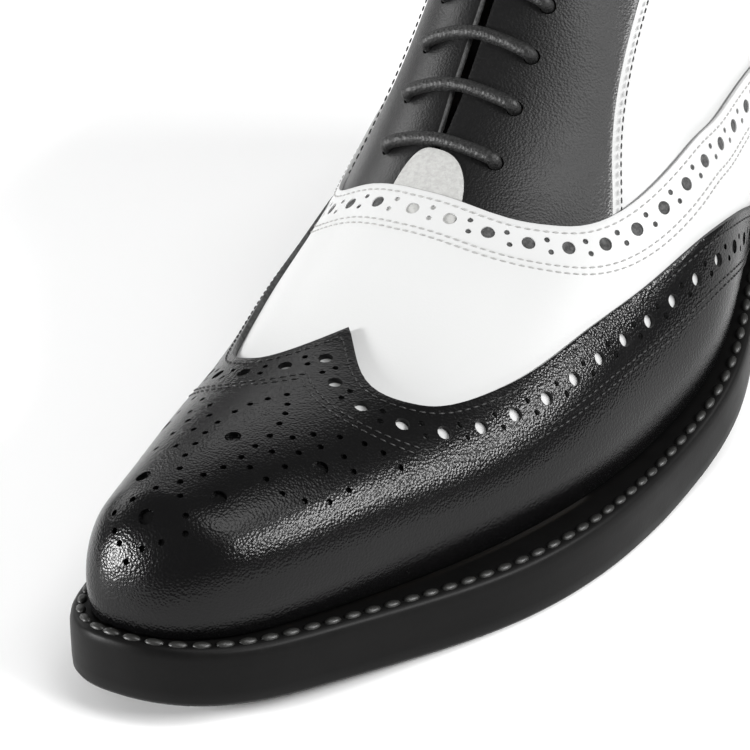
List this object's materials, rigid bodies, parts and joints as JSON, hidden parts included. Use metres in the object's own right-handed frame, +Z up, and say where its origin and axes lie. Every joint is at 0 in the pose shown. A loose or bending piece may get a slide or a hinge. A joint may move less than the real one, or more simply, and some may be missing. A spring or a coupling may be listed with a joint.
{
  "type": "spectator shoe",
  "caption": "Two-tone leather dress shoe with a wing toe cap, punched trim, closed lacing and a stacked heel.",
  "frame": {"origin": "middle of the sole's outline on the floor", "axes": "+Y from toe to heel, +X to the outer side of the foot, +Z up"},
  "size_m": [0.1008, 0.2962, 0.1197],
  "materials": {
    "white_leather": "smooth, low gloss",
    "black_leather": "fine grain, soft gloss",
    "sole_leather": "black edge dressing",
    "heel_rubber": "matt",
    "lining_leather": "matt",
    "waxed_cord": "waxed round lace"
  },
  "bodies": {
    "root": {"outsole": "sole_leather", "welt": "sole_leather", "heel_block": "sole_leather", "heel_cap": "heel_rubber", "insole": "lining_leather", "upper": "white_leather", "vamp": "white_leather", "wing_cap": "black_leather", "heel_counter": "black_leather", "eyestay_outer": "black_leather", "eyestay_inner": "black_leather", "tongue": "black_leather", "lace": "waxed_cord"}
  },
  "joints": []
}
